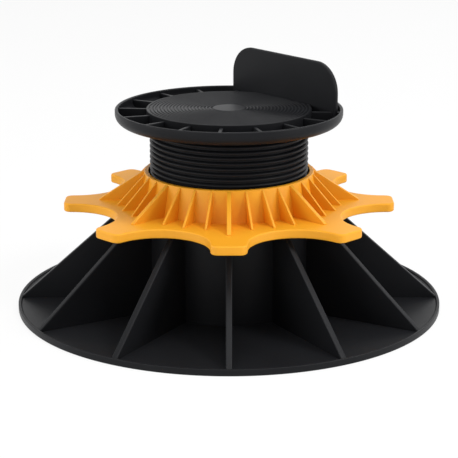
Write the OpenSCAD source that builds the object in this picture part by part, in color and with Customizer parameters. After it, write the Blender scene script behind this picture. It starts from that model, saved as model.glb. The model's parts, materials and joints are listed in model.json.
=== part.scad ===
// Adjustable decking pedestal: a ribbed base, a ring nut that turns on it,
// and a head with a threaded stem that the nut raises and lowers.
// Millimetres, +Z up, origin at the middle of the base's underside.
// Angles count from the front, which is -Y, to the right.

/* [Base] */
// Diameter of the base plate
base_d = 200; // [180:1:240]
// Thickness of the base plate
base_t = 2.2; // [1.6:0.1:4]
// Width of the rounded lip round the plate
lip_w = 1.6; // [1:0.1:3]
// Height of the lip above the plate
lip_h = 0.9; // [0.8:0.1:2]
// Number of gusset ribs
rib_count = 12; // [8:1:16]
// Thickness of a gusset rib
rib_t = 2.8; // [1.6:0.1:4]
// Height of a gusset rib's toe above the plate
rib_toe_h = 0.3; // [0.2:0.1:2]
// Diameter of the level shoulder at the top of the ribs
shoulder_d = 104; // [92:1:120]
// Gap between the ribs' shoulder and the ring nut
shoulder_gap = 1.5; // [0.8:0.1:4]
// Wall of the central tube
tube_wall = 2; // [1.5:0.1:3]
// Height of the tube's rim, on which the ring nut rests
tube_h = 46.2; // [40:0.2:54]

/* [Thread] */
// Outer diameter of the stem's thread
thread_d = 74; // [68:0.5:76]
// Rise of the thread in one turn
thread_pitch = 2.5; // [2:0.05:3.5]
// Depth of the thread
thread_depth = 1; // [0.6:0.05:1.2]
// Radial play between stem and nut
thread_play = 0.35; // [0.3:0.05:0.6]
// Height of one groove's middle at the front of the stem
thread_datum = 74.55; // [70:0.05:78]
// Facets in one turn of the thread
thread_facets = 36; // [24:4:48]

/* [Ring nut] */
// Number of grip lobes
lobe_count = 8; // [6:1:9]
// Diameter across the lobes' flat tips
nut_d = 154.6; // [148:0.2:166]
// Diameter at the bottom of the scallops between the lobes
scallop_d = 114; // [108:0.5:120]
// Radius of a scallop
scallop_r = 22.4; // [19:0.1:23]
// Corner radius of a lobe's tip
lobe_r = 3.5; // [1:0.1:4]
// Thickness of the flange
flange_t = 4.2; // [2.5:0.1:5]
// Height of the collar above the flange
collar_h = 14.6; // [10:0.1:20]
// Wall of the collar at its rim
collar_wall = 1.6; // [1.2:0.1:3]
// Growth of the collar's radius from its rim to its foot
collar_draft = 2.8; // [0.5:0.1:4]
// Gap round the stem's thread inside the collar's rim
relief_gap = 1; // [0.8:0.1:2]
// Depth of the wide mouth inside the collar's rim
relief_h = 3; // [1.5:0.1:6]
// Length of the skirt that centres the nut in the base's tube
skirt_h = 9.8; // [6:0.2:16]
// Wall of the skirt outside its thread
skirt_wall = 2.35; // [1.8:0.05:4]
// Play between skirt and tube
skirt_play = 0.3; // [0.2:0.05:0.6]
// Fins from one lobe to the next
fins_per_lobe = 4; // [2:1:5]
// Thickness of the long fin on each lobe
long_fin_t = 2; // [1.2:0.1:3]
// Diameter at the foot of the long fins
long_fin_d = 122; // [112:1:136]
// Thickness of the short fins
short_fin_t = 1.1; // [0.8:0.1:2]
// Diameter at the foot of the short fins
short_fin_d = 106; // [98:1:110]
// Height of a fin's toe above the flange
fin_toe_h = 0.4; // [0.2:0.1:1]
// Width of a fin's level top outside the collar's rim
fin_top_w = 0.4; // [0.2:0.1:1]
// Drop of the fins' tops below the collar's rim
fin_drop = 0.4; // [0.2:0.1:2]

/* [Head] */
// Diameter of the head's rim
head_d = 105.8; // [100:0.2:120]
// Height of the rim's top above the floor
head_h = 94.5; // [84:0.1:110]
// Depth of the head from its rim's top to its underside
dish_h = 6.6; // [5.5:0.1:12]
// Radius of the round from the underside up to the rim
dish_r = 4.5; // [3:0.1:5.4]
// Wall of the rim and of the floor inside it
dish_wall = 1.5; // [1.2:0.1:2.4]
// Chamfer along the rim's top edges
rim_chamfer = 0.4; // [0.2:0.05:0.6]
// Diameter of the bearing disc
disc_d = 76.6; // [75:0.2:84]
// Thickness of the bearing disc
disc_t = 2.6; // [1.8:0.1:4]
// Diameter of the plain dot in the middle of the disc
dot_d = 15.4; // [6:0.2:20]
// Spacing of the disc's concentric ridges
ridge_pitch = 1.6; // [1.4:0.1:4]
// Share of the spacing that a ridge's flat top takes up
ridge_land = 0.5; // [0.3:0.05:0.7]
// Height of the ridges
ridge_h = 0.5; // [0.2:0.05:0.8]
// Run of a ridge's sloping side
ridge_run = 0.15; // [0.05:0.05:0.2]
// Number of ribs in the channel between disc and rim
web_count = 16; // [8:1:24]
// Thickness of a channel rib
web_t = 1.6; // [0.8:0.1:2.4]
// Drop of the channel ribs below the rim's top
web_drop = 1.2; // [0.4:0.1:2.4]
// Length of the threaded stem below the head
stem_l = 60; // [50:1:70]
// Wall of the stem under its thread
stem_wall = 2.9; // [2:0.1:5]

/* [Tab] */
// Direction that the joist tab faces away to
tab_angle = 130; // [0:1:359]
// Distance of the tab's front face from the axis
tab_offset = 33; // [31:0.1:36]
// Length of the tab
tab_l = 73; // [50:1:76]
// Height of the tab above the rim
tab_h = 21; // [10:0.1:40]
// Thickness of the tab
tab_t = 2; // [1.6:0.1:4]
// Radius of the tab's upper corners
tab_r = 13.5; // [2:0.5:20]

/* [Hidden] */
$fn = 96;
bite = 1;
front = -90;
black = "#1c1d1f";
orange = "#f0931c";

// Thread sizes shared by the stem and the nut
crest_r = thread_d / 2;
root_r = crest_r - thread_depth;
tap_r = crest_r + thread_play;
// Turns of plain rod at the lower and the upper end of a threaded rod
plain_low = 0.7;
plain_high = 1.3;
// Turns over which the thread begins to grow from the lower end
plain_start = 0.5;
// Length of rod beyond a face that lets the full thread pass through it
run_out_turns = 2.8;
run_out = run_out_turns * thread_pitch;
// Groove, flank and crest along one turn: share of the pitch, share of the depth
thread_form = [[-0.08, 0], [0.08, 0], [0.33, 1], [0.67, 1]];

// Base sizes
base_r = base_d / 2;
skirt_r = tap_r + skirt_wall;
tube_in_r = skirt_r + skirt_play;
tube_r = tube_in_r + tube_wall;
rib_end_r = base_r - lip_w / 2;
rib_top_z = tube_h - shoulder_gap;

// Ring nut sizes
flange_z = tube_h + flange_t;
collar_z = flange_z + collar_h;
skirt_z = tube_h - skirt_h;
mouth_r = crest_r + relief_gap;
mouth_z = collar_z - relief_h;
collar_r = mouth_r + collar_wall;
collar_foot_r = collar_r + collar_draft;
fin_top_r = collar_r + fin_top_w;
fin_top_z = collar_z - fin_drop;
scallop_c = scallop_d / 2 + scallop_r;
lobe_step = 360 / lobe_count;
tip_x = nut_d / 2;
corner_x = tip_x - lobe_r;
corner_y = scallop_c * sin(lobe_step / 2)
         - sqrt(pow(scallop_r + lobe_r, 2) - pow(corner_x - scallop_c * cos(lobe_step / 2), 2));

// Head sizes
head_r = head_d / 2;
dish_z = head_h - dish_h;
floor_z = dish_z + dish_wall;
round_x = head_r - dish_r;
round_z = dish_z + dish_r;
disc_r = disc_d / 2;
bore_r = root_r - stem_wall;
bore_top_z = head_h - disc_t;
stem_z = dish_z - stem_l;
web_top_z = head_h - web_drop;
// Plain neck that joins the stem's thread to the dish
neck_step = 0.3;
neck_h = 2;
ridge_count = floor((disc_r - dot_d / 2) / ridge_pitch);

// One column of the thread's surface, from the lower end to the upper one
function thread_column(a, r, z0, z1, k0, k1) = let (drop = thread_pitch * a / 360) concat(
    [[r * cos(a + front), r * sin(a + front), z0]],
    [for (k = [k0:k1], p = thread_form) let (
        z = thread_datum + (k + p[0]) * thread_pitch - drop,
        grown = max(0, min(1, (z - z0) / thread_pitch - plain_start)),
        rr = r + thread_depth * p[1] * grown
    ) [rr * cos(a + front), rr * sin(a + front), z]],
    [[r * cos(a + front), r * sin(a + front), z1]]
);

// Left-hand threaded rod from z0 to z1 with grooves of radius r; its thread
// grows from nothing at the lower end, and starts and ends at the back
module threaded_rod(r, z0, z1) {
    n = thread_facets;
    form = len(thread_form);
    k0 = ceil((z0 - thread_datum) / thread_pitch + plain_low);
    k1 = floor((z1 - thread_datum) / thread_pitch - plain_high);
    rows = (k1 - k0 + 1) * form;
    size = rows + 2;
    last = (n - 1) * size;
    columns = [for (j = [0:n - 1]) thread_column(360 * j / n - 180, r, z0, z1, k0, k1)];
    points = [for (c = columns, p = c) p];
    body = [for (j = [0:n - 2], i = [0:rows]) let (a = j * size + i, b = a + size)
        each [[a, a + 1, b + 1], [a, b + 1, b]]];
    // Where the columns meet again, one turn of rows has slipped by
    seam = [for (i = [form + 1:rows - 1]) let (a = last + i, b = i - form)
        each [[a, a + 1, b + 1], [a, b + 1, b]]];
    low_end = concat(
        [for (i = [0:form]) [last + i, last + i + 1, 1]],
        [[last, 1, 0]]
    );
    high_end = concat(
        [for (i = [rows - form:rows]) [last + rows, i + 1, i]],
        [[last + rows, last + rows + 1, rows + 1]]
    );
    caps = [
        [for (j = [0:n - 1]) j * size],
        [for (j = [n - 1:-1:0]) j * size + rows + 1]
    ];
    polyhedron(points = points, faces = concat(body, seam, low_end, high_end, caps));
}

// Upright plate of thickness t whose outline is drawn as radius and height
module radial_plate(t) {
    rotate([90, 0, 0])
        translate([0, 0, -t / 2])
            linear_extrude(t)
                children();
}

module base_profile() {
    translate([tube_in_r, 0]) {
        square([base_r - tube_in_r, base_t]);
        square([tube_wall, tube_h]);
    }
    translate([base_r - lip_w, 0])
        square([lip_w, base_t + lip_h - lip_w / 2]);
    translate([base_r - lip_w / 2, base_t + lip_h - lip_w / 2])
        circle(d = lip_w);
}

module gusset_outline() {
    polygon([
        [tube_r - tube_wall / 2, base_t / 2],
        [rib_end_r, base_t / 2],
        [rib_end_r, base_t + rib_toe_h],
        [shoulder_d / 2, rib_top_z],
        [tube_r - tube_wall / 2, rib_top_z]
    ]);
}

module base() {
    color(black) {
        rotate_extrude()
            base_profile();
        for (k = [0:rib_count - 1])
            rotate(front + 360 * k / rib_count)
                radial_plate(rib_t)
                    gusset_outline();
    }
}

// Flange seen from above: flat lobe tips with rounded corners, scallops between
module flange_outline() {
    difference() {
        union() {
            circle(r = corner_x);
            for (k = [0:lobe_count - 1])
                rotate(front + lobe_step * k) {
                    translate([0, -corner_y - lobe_r])
                        square([corner_x, 2 * (corner_y + lobe_r)]);
                    translate([0, -corner_y])
                        square([tip_x, 2 * corner_y]);
                    for (s = [-1, 1])
                        translate([corner_x, s * corner_y])
                            circle(r = lobe_r);
                }
        }
        for (k = [0:lobe_count - 1])
            rotate(front + lobe_step * (k + 0.5))
                translate([scallop_c, 0])
                    circle(r = scallop_r);
    }
}

module collar_profile() {
    polygon([
        [0, skirt_z],
        [skirt_r, skirt_z],
        [skirt_r, tube_h],
        [collar_foot_r, tube_h],
        [collar_foot_r, flange_z],
        [collar_r, collar_z],
        [0, collar_z]
    ]);
}

module fin_outline(foot_r) {
    polygon([
        [mouth_r + collar_wall / 2, flange_z - bite],
        [foot_r, flange_z - bite],
        [foot_r, flange_z + fin_toe_h],
        [fin_top_r, fin_top_z],
        [mouth_r + collar_wall / 2, fin_top_z]
    ]);
}

module nut_fins() {
    for (k = [0:lobe_count * fins_per_lobe - 1]) {
        on_lobe = k % fins_per_lobe == 0;
        rotate(front + lobe_step * k / fins_per_lobe)
            radial_plate(on_lobe ? long_fin_t : short_fin_t)
                fin_outline((on_lobe ? long_fin_d : short_fin_d) / 2);
    }
}

module ring_nut() {
    color(orange)
        difference() {
            union() {
                rotate_extrude()
                    collar_profile();
                translate([0, 0, tube_h])
                    linear_extrude(flange_t)
                        flange_outline();
                nut_fins();
            }
            threaded_rod(root_r + thread_play, skirt_z - run_out, mouth_z + run_out);
            translate([0, 0, mouth_z])
                cylinder(r = mouth_r, h = relief_h + bite);
        }
}

// Everything inside the head's outer face, up to the height h
module dish_envelope(h) {
    square([round_x, h]);
    translate([0, dish_r])
        square([head_r, h - dish_r]);
    translate([round_x, dish_r])
        circle(r = dish_r);
}

// Annular channel between the disc and the rim
module channel_profile() {
    inner_r = dish_r - dish_wall;
    translate([disc_r, dish_wall]) {
        square([round_x - disc_r, dish_h]);
        translate([0, inner_r])
            square([head_r - dish_wall - disc_r, dish_h]);
    }
    translate([round_x, dish_r])
        circle(r = inner_r);
}

module rim_bevels() {
    for (r = [head_r, head_r - dish_wall])
        translate([r, dish_h])
            rotate(45)
                square(rim_chamfer * sqrt(2), center = true);
}

// Grooves of the disc's top, which leave flat-topped ridges between them
module ridge_grooves() {
    groove_w = ridge_pitch * (1 - ridge_land);
    for (i = [0:ridge_count - 1])
        translate([dot_d / 2 + i * ridge_pitch, dish_h])
            polygon([
                [0, 0],
                [ridge_run, -ridge_h],
                [groove_w - ridge_run, -ridge_h],
                [groove_w, 0]
            ]);
}

module head_profile() {
    difference() {
        dish_envelope(dish_h);
        channel_profile();
        rim_bevels();
        ridge_grooves();
    }
}

module tab_outline() {
    low_z = floor_z - dish_wall / 2;
    high_z = head_h + tab_h;
    translate([-tab_l / 2, low_z])
        square([tab_l, high_z - tab_r - low_z]);
    translate([tab_r - tab_l / 2, low_z])
        square([tab_l - 2 * tab_r, high_z - low_z]);
    for (s = [-1, 1])
        translate([s * (tab_l / 2 - tab_r), high_z - tab_r])
            circle(r = tab_r);
}

module joist_tab() {
    intersection() {
        rotate(front + tab_angle)
            translate([tab_offset, 0, 0])
                rotate([90, 0, 90])
                    linear_extrude(tab_t)
                        tab_outline();
        translate([0, 0, dish_z])
            rotate_extrude()
                dish_envelope(dish_h + tab_h + bite);
    }
}

module channel_webs() {
    intersection() {
        for (k = [0:web_count - 1])
            rotate(front + tab_angle + 360 * k / web_count)
                translate([disc_r - bite, -web_t / 2, floor_z - bite])
                    cube([head_r - dish_wall / 2 - disc_r + bite, web_t, web_top_z - floor_z + bite]);
        translate([0, 0, dish_z])
            rotate_extrude()
                dish_envelope(dish_h);
    }
}

module head() {
    color(black)
        difference() {
            union() {
                translate([0, 0, dish_z])
                    rotate_extrude()
                        head_profile();
                channel_webs();
                joist_tab();
                translate([0, 0, dish_z - neck_h])
                    cylinder(r = root_r - neck_step, h = neck_h + bite);
                threaded_rod(root_r, stem_z, dish_z - neck_step);
            }
            translate([0, 0, stem_z - bite])
                cylinder(r = bore_r, h = bore_top_z - stem_z + bite);
        }
}

base();
ring_nut();
head();
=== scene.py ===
import json
import math

import bmesh
import bpy
from mathutils import Matrix, Vector


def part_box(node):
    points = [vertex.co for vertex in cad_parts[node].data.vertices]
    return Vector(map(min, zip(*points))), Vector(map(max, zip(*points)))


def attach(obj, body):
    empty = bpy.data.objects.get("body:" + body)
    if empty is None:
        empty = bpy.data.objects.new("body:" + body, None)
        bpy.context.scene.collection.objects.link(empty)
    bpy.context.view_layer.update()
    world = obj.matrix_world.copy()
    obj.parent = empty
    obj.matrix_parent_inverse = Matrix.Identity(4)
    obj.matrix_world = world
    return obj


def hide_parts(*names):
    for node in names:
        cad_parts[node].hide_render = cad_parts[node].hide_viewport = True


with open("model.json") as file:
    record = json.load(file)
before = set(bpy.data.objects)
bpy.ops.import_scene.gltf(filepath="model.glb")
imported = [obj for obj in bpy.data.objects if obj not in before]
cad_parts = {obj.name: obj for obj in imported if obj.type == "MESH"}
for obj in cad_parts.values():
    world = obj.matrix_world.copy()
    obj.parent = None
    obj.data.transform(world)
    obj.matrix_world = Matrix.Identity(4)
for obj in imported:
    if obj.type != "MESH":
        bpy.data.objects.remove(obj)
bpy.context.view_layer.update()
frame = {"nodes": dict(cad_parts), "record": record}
print("frame loaded:", ", ".join(sorted(frame["nodes"])))

mm = 0.001  # pieces are drawn in millimetres and scaled at the end
frontAngle = math.radians(-90)  # the side that faces the camera
roundSteps = 192  # facets round a turned shape
creaseAngle = math.radians(32)  # edges sharper than this stay crisp
bite = 1  # how far a joined shape is sunk into its neighbour, or a cut runs past it


def nodeTop(node):
    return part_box(node)[1][2] / mm


def nodeBottom(node):
    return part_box(node)[0][2] / mm


def nodeRadius(node):
    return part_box(node)[1][0] / mm


# Drawing with bmesh operators

def drawLoop(bm, corners):
    # corners are (across, up, round) in order round the outline
    verts = [bm.verts.new((across, 0, up)) for across, up, radius in corners]
    bm.faces.new(verts)
    for size in sorted({radius for across, up, radius in corners if radius}):
        chosen = [v for v, corner in zip(verts, corners) if corner[2] == size]
        steps = 12 if size > 1 else 3 if size > 0.15 else 1  # large rounds get more facets
        bmesh.ops.bevel(bm, geom=chosen, offset=size, segments=steps, profile=0.5,
                        affect="VERTICES", material=-1)
    return next(iter(bm.faces))


def spinSolid(corners):
    bm = bmesh.new()
    face = drawLoop(bm, corners)
    outline = [e for e in face.edges if max(abs(v.co.x) for v in e.verts) > 1e-6]
    bmesh.ops.delete(bm, geom=[face], context="FACES_ONLY")
    bmesh.ops.delete(bm, geom=[e for e in bm.edges if e not in outline], context="EDGES")
    bmesh.ops.spin(bm, geom=bm.verts[:] + bm.edges[:], cent=(0, 0, 0), axis=(0, 0, 1),
                   angle=math.tau, steps=roundSteps, use_merge=True)
    return tidy(bm)


def cutPlate(corners, thick, edgeRound):
    bm = bmesh.new()
    face = drawLoop(bm, corners)
    return thicken(bm, face, Vector((0, thick, 0)), edgeRound)


def thicken(bm, face, reach, edgeRound):
    made = bmesh.ops.extrude_face_region(bm, geom=[face])
    moved = [g for g in made["geom"] if isinstance(g, bmesh.types.BMVert)]
    bmesh.ops.translate(bm, vec=reach, verts=moved)
    bmesh.ops.translate(bm, vec=-reach / 2, verts=bm.verts)
    bmesh.ops.recalc_face_normals(bm, faces=bm.faces)
    rims = [e for e in bm.edges if abs((e.verts[0].co - e.verts[1].co).dot(reach)) < 1e-6]
    bmesh.ops.bevel(bm, geom=rims, offset=edgeRound, segments=3, profile=0.5,
                    affect="EDGES", clamp_overlap=True, material=-1)
    return tidy(bm)


def tidy(bm):
    bmesh.ops.remove_doubles(bm, verts=bm.verts, dist=1e-4)
    bmesh.ops.recalc_face_normals(bm, faces=bm.faces)
    return bm


def turn(bm, angle):
    bmesh.ops.rotate(bm, cent=(0, 0, 0), matrix=Matrix.Rotation(angle, 3, "Z"), verts=bm.verts)
    return bm


def ringOf(bm, count):
    # copies of one shape all the way round the axis
    bmesh.ops.spin(bm, geom=bm.verts[:] + bm.edges[:] + bm.faces[:], cent=(0, 0, 0),
                   axis=(0, 0, 1), angle=math.tau * (count - 1) / count, steps=count - 1,
                   use_duplicate=True)
    return bm


def holdObject(bm):
    mesh = bpy.data.meshes.new("workMesh")
    bm.to_mesh(mesh)
    bm.free()
    held = bpy.data.objects.new("workPiece", mesh)
    bpy.context.collection.objects.link(held)
    return held


def combine(first, second, operation):
    kept, tool = holdObject(first), holdObject(second)
    change = kept.modifiers.new("combine", "BOOLEAN")
    change.operation = operation
    change.object = tool
    change.solver = "MANIFOLD"
    bpy.context.view_layer.update()
    result = bmesh.new()
    result.from_object(kept, bpy.context.evaluated_depsgraph_get())
    for held in (kept, tool):
        mesh = held.data
        bpy.data.objects.remove(held)
        bpy.data.meshes.remove(mesh)
    return result


def column(radius, low, high):
    return spinSolid([(0, low, 0), (radius, low, 0), (radius, high, 0), (0, high, 0)])


# The screw thread that the nut and the stem share
screw = {
    "pitch": frame["record"]["behaviour"]["couplings"][0]["ratio"] * math.tau / mm,
    "crest": 37.0,
    "depth": 1.8,
    "play": 0.35,
    "datum": 74.9,  # height of one groove's middle at the front
    "roll": 0.74,  # share of the pitch that the rounded crest takes up
    "rollSteps": 12,
    "stepsPerTurn": 96,
}


def threadedRod(root, low, high):
    # one left-hand turn is swept, stacked up the rod and trimmed to two flat ends
    bm = bmesh.new()
    pitch = screw["pitch"]
    first = math.floor((low - screw["datum"]) / pitch)
    turns = math.ceil((high - screw["datum"]) / pitch) - first + 2
    startZ = screw["datum"] + first * pitch
    row = [(root, startZ)]
    for k in range(screw["rollSteps"] + 1):
        around = math.pi * k / screw["rollSteps"]  # the crest is half an ellipse
        rise = (1 - screw["roll"] * math.cos(around)) / 2 * pitch
        row.append((root + screw["depth"] * math.sin(around), startZ + rise))
    row.append((root, startZ + pitch))
    verts = [bm.verts.new((radius, 0, height)) for radius, height in row]
    for pair in zip(verts, verts[1:]):
        bm.edges.new(pair)
    turn(bm, frontAngle)
    bmesh.ops.spin(bm, geom=bm.verts[:] + bm.edges[:], cent=(0, 0, 0), axis=(0, 0, 1),
                   angle=math.tau, steps=screw["stepsPerTurn"],
                   dvec=(0, 0, -pitch / screw["stepsPerTurn"]))
    oneTurn = bm.verts[:] + bm.edges[:] + bm.faces[:]
    for k in range(1, turns):
        copied = bmesh.ops.duplicate(bm, geom=oneTurn)["geom"]
        verts = [g for g in copied if isinstance(g, bmesh.types.BMVert)]
        bmesh.ops.translate(bm, vec=(0, 0, k * pitch), verts=verts)
    bmesh.ops.remove_doubles(bm, verts=bm.verts, dist=1e-3)
    for height, side in ((low, -1), (high, 1)):
        bmesh.ops.bisect_plane(bm, geom=bm.verts[:] + bm.edges[:] + bm.faces[:], dist=1e-5,
                               plane_co=(0, 0, height), plane_no=(0, 0, side), clear_outer=True)
    bmesh.ops.holes_fill(bm, edges=[e for e in bm.edges if e.is_boundary], sides=0)
    return tidy(bm)


# Materials

def nodeTools(material):
    material.use_nodes = True
    nodes, links = material.node_tree.nodes, material.node_tree.links
    nodes.clear()
    return nodes, links


def mouldedPlastic(name, look):
    material = bpy.data.materials.new(name)
    nodes, links = nodeTools(material)
    out = nodes.new("ShaderNodeOutputMaterial")
    shader = nodes.new("ShaderNodeBsdfPrincipled")
    place = nodes.new("ShaderNodeTexCoord")

    def cloud(scale, detail, rough):
        noise = nodes.new("ShaderNodeTexNoise")
        noise.inputs["Scale"].default_value = scale
        noise.inputs["Detail"].default_value = detail
        noise.inputs["Roughness"].default_value = rough
        links.new(place.outputs["Object"], noise.inputs["Vector"])
        return noise

    drift = cloud(look["driftScale"], 3, 0.55)  # slow change of shade over the moulding
    grain = cloud(look["grainScale"], 4, 0.6)  # fine tool texture

    tone = nodes.new("ShaderNodeValToRGB")
    tone.color_ramp.elements[0].position = 0.3
    tone.color_ramp.elements[0].color = (*look["dark"], 1)
    tone.color_ramp.elements[1].position = 0.7
    tone.color_ramp.elements[1].color = (*look["light"], 1)
    links.new(drift.outputs["Fac"], tone.inputs["Fac"])
    links.new(tone.outputs["Color"], shader.inputs["Base Color"])

    sheen = nodes.new("ShaderNodeMapRange")
    sheen.inputs["To Min"].default_value = look["roughLow"]
    sheen.inputs["To Max"].default_value = look["roughHigh"]
    links.new(grain.outputs["Fac"], sheen.inputs["Value"])
    links.new(sheen.outputs["Result"], shader.inputs["Roughness"])

    bump = nodes.new("ShaderNodeBump")
    bump.inputs["Strength"].default_value = look["bump"]
    bump.inputs["Distance"].default_value = look["bumpDepth"]
    links.new(grain.outputs["Fac"], bump.inputs["Height"])
    links.new(bump.outputs["Normal"], shader.inputs["Normal"])

    shader.inputs["Specular IOR Level"].default_value = look["specular"]
    links.new(shader.outputs["BSDF"], out.inputs["Surface"])
    return material


blackLook = {
    "dark": (0.0086, 0.0089, 0.0101),
    "light": (0.0108, 0.0113, 0.0129),
    "driftScale": 35,
    "grainScale": 1800,
    "roughLow": 0.34,
    "roughHigh": 0.46,
    "bump": 0.12,
    "bumpDepth": 0.0001,
    "specular": 0.108,
}
orangeLook = {
    "dark": (0.81, 0.345, 0.015),
    "light": (0.85, 0.37, 0.019),
    "driftScale": 30,
    "grainScale": 1800,
    "roughLow": 0.38,
    "roughHigh": 0.5,
    "bump": 0.1,
    "bumpDepth": 0.0001,
    "specular": 0.25,
}
blackPlastic = mouldedPlastic("blackPlastic", blackLook)
orangePlastic = mouldedPlastic("orangePlastic", orangeLook)
print("materials ready")


def finishPiece(bm, name, material, body, node):
    tidy(bm)
    bmesh.ops.scale(bm, vec=(mm, mm, mm), verts=bm.verts)
    mesh = bpy.data.meshes.new(name)
    bm.to_mesh(mesh)
    bm.free()
    mesh.materials.append(material)
    mesh.shade_smooth()
    mesh.set_sharp_from_angle(angle=creaseAngle)
    piece = bpy.data.objects.new(name, mesh)
    bpy.context.collection.objects.link(piece)
    flat = piece.modifiers.new("flatFaces", "WEIGHTED_NORMAL")
    flat.keep_sharp = True
    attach(piece, body)
    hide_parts(node)
    print(name, "made:", len(mesh.polygons), "faces")
    return piece


# Base: plate, lip, tube and gusset ribs
baseSize = {
    "plate": 2.2,
    "lipWidth": 1.6,
    "lipHeight": 0.9,
    "lipRound": 0.3,  # outer corner
    "lipEase": 0.79,  # inner corner, nearly half the lip
    "lipFoot": 0.1,
    "tubeInner": 40.0,
    "tubeWall": 2.0,
    "ribCount": 12,
    "ribThick": 2.8,
    "ribToe": 0.3,
    "shoulder": 52.0,
    "shoulderGap": 1.5,
    "shoulderRound": 1.5,
    "edgeRound": 0.5,
}


def makeBase():
    s = baseSize
    radius, rim = nodeRadius("base"), nodeTop("base")
    lipTop = s["plate"] + s["lipHeight"]
    inner, outer = s["tubeInner"], s["tubeInner"] + s["tubeWall"]
    edge = s["edgeRound"]
    plate = spinSolid([
        (inner, 0, 0), (radius, 0, edge), (radius, lipTop, s["lipRound"]),
        (radius - s["lipWidth"], lipTop, s["lipEase"]),
        (radius - s["lipWidth"], s["plate"], s["lipFoot"]), (outer, s["plate"], 0),
        (outer, rim, edge), (inner, rim, edge)])
    start, end = outer - s["tubeWall"] / 2, radius - s["lipWidth"] / 2
    shoulderZ = rim - s["shoulderGap"]
    rib = cutPlate([
        (start, s["plate"] / 2, 0), (end, s["plate"] / 2, 0), (end, s["plate"] + s["ribToe"], 0),
        (s["shoulder"], shoulderZ, s["shoulderRound"]), (start, shoulderZ, 0)], s["ribThick"], edge)
    ribs = ringOf(turn(rib, frontAngle), s["ribCount"])
    return combine(plate, ribs, "UNION")


finishPiece(makeBase(), "baseMoulding", blackPlastic, "base", "base")


# Ring nut: lobed flange, collar with fins, threaded skirt
nutSize = {
    "lobes": 8,
    "scallop": 22.4,
    "scallopFoot": 57.0,
    "scallopSteps": 28,
    "tipRound": 3.5,
    "tipSteps": 6,
    "flange": 4.2,
    "flangeRound": 0.7,
    "skirt": 39.7,
    "skirtRound": 0.4,
    "collarRim": 39.6,
    "collarFoot": 42.4,
    "collarRound": 0.4,
    "mouth": 37.6,
    "mouthDepth": 3.0,
    "mouthRound": 0.3,
    "finsPerLobe": 4,
    "longFin": (61.0, 2.0),  # foot radius and thickness
    "shortFin": (53.0, 1.1),
    "finToe": 0.4,
    "finTop": 0.4,
    "finDrop": 0.4,  # the collar's rim stands clear above the fins
    "finRound": 0.35,
}


def flangeFace(bm, tip):
    s = nutSize
    half = math.pi / s["lobes"]
    far = s["scallopFoot"] + s["scallop"]
    scallopAt = Vector((far * math.cos(half), far * math.sin(half), 0))
    cornerX = tip - s["tipRound"]
    drop = math.sqrt((s["scallop"] + s["tipRound"]) ** 2 - (cornerX - scallopAt.x) ** 2)
    cornerAt = Vector((cornerX, scallopAt.y - drop, 0))
    away = scallopAt - cornerAt
    cornerSweep = math.atan2(away.y, away.x)
    scallopSweep = -2 * (cornerSweep - half)

    def arc(vert, centre, angle, steps):
        made = bmesh.ops.spin(bm, geom=[vert], cent=centre, axis=(0, 0, 1), angle=angle,
                              steps=steps)
        return made["geom_last"][0]

    nextTip = Matrix.Rotation(2 * half, 3, "Z")
    nextCorner = nextTip @ Vector((cornerAt.x, -cornerAt.y, 0))
    start = bm.verts.new((tip, 0, 0))
    vert = bm.verts.new((tip, cornerAt.y, 0))
    bm.edges.new((start, vert))
    vert = arc(vert, cornerAt, cornerSweep, s["tipSteps"])
    vert = arc(vert, scallopAt, scallopSweep, s["scallopSteps"])
    vert = arc(vert, nextCorner, cornerSweep, s["tipSteps"])
    bm.edges.new((vert, bm.verts.new(nextTip @ start.co)))
    ringOf(bm, s["lobes"])
    bmesh.ops.remove_doubles(bm, verts=bm.verts, dist=1e-3)
    return bmesh.ops.edgeloop_fill(bm, edges=bm.edges)["faces"][0]


def makeNut():
    s = nutSize
    seat, top, low = nodeTop("base"), nodeTop("ring_nut"), nodeBottom("ring_nut")
    flangeTop = seat + s["flange"]
    body = spinSolid([
        (0, low, 0), (s["skirt"], low, s["skirtRound"]), (s["skirt"], seat + bite, 0),
        (s["collarFoot"], seat + bite, 0), (s["collarFoot"], flangeTop, 0),
        (s["collarRim"], top, s["collarRound"]), (s["mouth"], top, s["mouthRound"]),
        (s["mouth"], top - s["mouthDepth"], 0), (0, top - s["mouthDepth"], 0)])
    bm = bmesh.new()
    flange = thicken(bm, flangeFace(bm, nodeRadius("ring_nut")), Vector((0, 0, s["flange"])),
                     s["flangeRound"])
    bmesh.ops.translate(flange, vec=(0, 0, seat + s["flange"] / 2), verts=flange.verts)
    body = combine(body, turn(flange, frontAngle), "UNION")

    inside = (s["mouth"] + s["collarRim"]) / 2
    step = math.tau / (s["lobes"] * s["finsPerLobe"])
    for k in range(s["finsPerLobe"]):
        foot, thick = s["longFin"] if k == 0 else s["shortFin"]
        fin = cutPlate([
            (inside, flangeTop - bite, 0), (foot, flangeTop - bite, 0),
            (foot, flangeTop + s["finToe"], 0),
            (s["collarRim"] + s["finTop"], top - s["finDrop"], 0), (inside, top - s["finDrop"], 0)],
            thick, s["finRound"])
        body = combine(body, ringOf(turn(fin, frontAngle + k * step), s["lobes"]), "UNION")
    tap = threadedRod(screw["crest"] - screw["depth"] + screw["play"], low - bite, top + bite)
    return combine(body, tap, "DIFFERENCE")


finishPiece(makeNut(), "nutMoulding", orangePlastic, "nut", "ring_nut")


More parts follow.
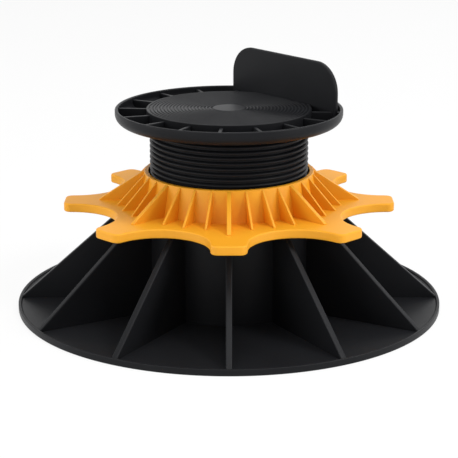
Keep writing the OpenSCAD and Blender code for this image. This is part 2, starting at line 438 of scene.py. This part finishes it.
# Head: dish with ridged disc and channel ribs, threaded stem, joist tab
headSize = {
    "depth": 6.6,
    "tabRise": 21.0,
    "dishRound": 4.5,
    "wall": 1.5,
    "rimRound": 0.6,
    "disc": 38.3,
    "discThick": 2.6,
    "discRound": 0.4,
    "discFoot": 0.8,
    "dot": 7.7,
    "ridgePitch": 1.6,
    "grooveWidth": 0.8,
    "grooveDepth": 0.5,
    "grooveSlope": 0.15,
    "ridgeRound": 0.3,
    "webs": 16,
    "webThick": 1.6,
    "webDrop": 1.2,
    "webRound": 0.3,
    "stemBore": 33.1,
    "tabAngle": math.radians(40),
    "tabOffset": 33.0,
    "tabLength": 73.0,
    "tabThick": 2.0,
    "tabCorner": 13.5,
    "tabRound": 0.6,
}


def makeHead():
    s = headSize
    rim, radius = nodeTop("head") - s["tabRise"], nodeRadius("head")
    under, stemLow = rim - s["depth"], nodeBottom("head")
    floorZ, rimInner = under + s["wall"], radius - s["wall"]
    grooves = []
    grooveZ, slope = rim - s["grooveDepth"], s["grooveSlope"]
    for k in range(int((s["disc"] - s["dot"]) / s["ridgePitch"])):
        start = s["dot"] + k * s["ridgePitch"]
        end = start + s["grooveWidth"]
        grooves += [(start, rim, s["ridgeRound"]), (start + slope, grooveZ, 0),
                    (end - slope, grooveZ, 0), (end, rim, s["ridgeRound"])]
    dish = spinSolid([
        (0, rim, 0), *grooves, (s["disc"], rim, s["discRound"]), (s["disc"], floorZ, s["discFoot"]),
        (rimInner, floorZ, s["dishRound"] - s["wall"]), (rimInner, rim, s["rimRound"]),
        (radius, rim, s["rimRound"]), (radius, under, s["dishRound"]), (0, under, 0)])

    def envelope(high):
        return spinSolid([
            (0, under, 0), (radius, under, s["dishRound"]), (radius, high, 0), (0, high, 0)])

    web = cutPlate([
        (s["disc"] - bite, floorZ - bite, 0), (radius - bite, floorZ - bite, 0),
        (radius - bite, rim - s["webDrop"], 0), (s["disc"] - bite, rim - s["webDrop"], 0)],
        s["webThick"], s["webRound"])
    webs = ringOf(turn(web, s["tabAngle"]), s["webs"])
    dish = combine(dish, combine(webs, envelope(rim), "INTERSECT"), "UNION")

    half, high, low = s["tabLength"] / 2, nodeTop("head"), floorZ - bite
    tab = cutPlate([
        (-half, low, 0), (half, low, 0),
        (half, high, s["tabCorner"]), (-half, high, s["tabCorner"])], s["tabThick"], s["tabRound"])
    turn(tab, frontAngle)
    bmesh.ops.translate(tab, vec=(s["tabOffset"] + s["tabThick"] / 2, 0, 0), verts=tab.verts)
    turn(tab, s["tabAngle"])
    dish = combine(dish, combine(tab, envelope(high + bite), "INTERSECT"), "UNION")

    stem = threadedRod(screw["crest"] - screw["depth"], stemLow, under + bite)
    bore = column(s["stemBore"], stemLow - bite, rim - s["discThick"])
    return combine(combine(dish, stem, "UNION"), bore, "DIFFERENCE")


finishPiece(makeHead(), "headMoulding", blackPlastic, "head", "head")


# Floor, light and camera
stageLook = {
    "floorSize": 6.0,
    "floorColor": (0.9, 0.9, 0.9),
    "floorGlow": 0.85,  # share of the floor that the camera sees as plain white
    "ambient": 0.395,
    "cameraAt": (0.0, -0.7557, 0.2549),
    "cameraTilt": math.radians(73.835),
    "lens": 130.7,
    "lampAim": (0, 0, 0.05),
}
lamps = {  # place, size and power
    "overheadLamp": ((0, -0.25, 1.4), 1.2, 8.6),
    "rightLamp": ((0.82, -0.38, 1.12), 0.4, 7),
    "sideLamp": ((1.3, -0.5, 0.35), 0.6, 5.3),
    "fillLamp": ((-0.95, -1.0, 0.34), 0.7, 3.4),
    "leftLamp": ((-1.3, -0.2, 0.4), 0.8, 4.8),
    "backLamp": ((0.7, 0.9, 0.9), 0.8, 2.7),
}


def seenDirectly(nodes, links):
    path = nodes.new("ShaderNodeLightPath")
    first = nodes.new("ShaderNodeMath")
    first.operation = "MAXIMUM"
    links.new(path.outputs["Is Camera Ray"], first.inputs[0])
    links.new(path.outputs["Is Glossy Ray"], first.inputs[1])
    second = nodes.new("ShaderNodeMath")
    second.operation = "MAXIMUM"
    links.new(first.outputs[0], second.inputs[0])
    links.new(path.outputs["Is Transmission Ray"], second.inputs[1])
    return second.outputs[0]


def makeWorld():
    world = bpy.data.worlds.new("studio")
    bpy.context.scene.world = world
    world.use_nodes = True
    nodes, links = world.node_tree.nodes, world.node_tree.links
    nodes.clear()
    out = nodes.new("ShaderNodeOutputWorld")
    mix = nodes.new("ShaderNodeMixShader")
    soft = nodes.new("ShaderNodeBackground")
    soft.inputs["Color"].default_value = (1, 1, 1, 1)
    soft.inputs["Strength"].default_value = stageLook["ambient"]
    white = nodes.new("ShaderNodeBackground")
    white.inputs["Color"].default_value = (1, 1, 1, 1)
    white.inputs["Strength"].default_value = 1.0
    links.new(seenDirectly(nodes, links), mix.inputs["Fac"])
    links.new(soft.outputs[0], mix.inputs[1])
    links.new(white.outputs[0], mix.inputs[2])
    links.new(mix.outputs[0], out.inputs["Surface"])


def makeFloor():
    bm = bmesh.new()
    bmesh.ops.create_grid(bm, x_segments=1, y_segments=1, size=stageLook["floorSize"] / 2)
    mesh = bpy.data.meshes.new("floor")
    bm.to_mesh(mesh)
    bm.free()
    material = bpy.data.materials.new("paleFloor")
    nodes, links = nodeTools(material)
    out = nodes.new("ShaderNodeOutputMaterial")
    mix = nodes.new("ShaderNodeMixShader")
    matt = nodes.new("ShaderNodeBsdfDiffuse")
    matt.inputs["Color"].default_value = (*stageLook["floorColor"], 1)
    glow = nodes.new("ShaderNodeEmission")
    glow.inputs["Strength"].default_value = 1.0
    share = nodes.new("ShaderNodeMath")
    share.operation = "MULTIPLY"
    share.inputs[1].default_value = stageLook["floorGlow"]
    links.new(seenDirectly(nodes, links), share.inputs[0])
    links.new(share.outputs[0], mix.inputs["Fac"])
    links.new(matt.outputs[0], mix.inputs[1])
    links.new(glow.outputs[0], mix.inputs[2])
    links.new(mix.outputs[0], out.inputs["Surface"])
    mesh.materials.append(material)
    floor = bpy.data.objects.new("floor", mesh)
    bpy.context.collection.objects.link(floor)


def softLamp(name, at, size, power):
    lamp = bpy.data.lights.new(name, "AREA")
    lamp.shape = "DISK"
    lamp.size = size
    lamp.energy = power
    holder = bpy.data.objects.new(name, lamp)
    holder.location = at
    aim = Vector(stageLook["lampAim"]) - Vector(at)
    holder.rotation_euler = aim.to_track_quat("-Z", "Y").to_euler()
    bpy.context.collection.objects.link(holder)


def makeCamera():
    camera = bpy.data.cameras.new("camera")
    camera.lens = stageLook["lens"]
    camera.sensor_width = 36
    camera.clip_start = 0.01
    holder = bpy.data.objects.new("camera", camera)
    holder.location = stageLook["cameraAt"]
    holder.rotation_euler = (stageLook["cameraTilt"], 0, 0)
    bpy.context.collection.objects.link(holder)
    bpy.context.scene.camera = holder


makeWorld()
makeFloor()
for name, (at, size, power) in lamps.items():
    softLamp(name, at, size, power)
makeCamera()
bpy.context.scene.view_settings.view_transform = "Standard"
print("stage ready")
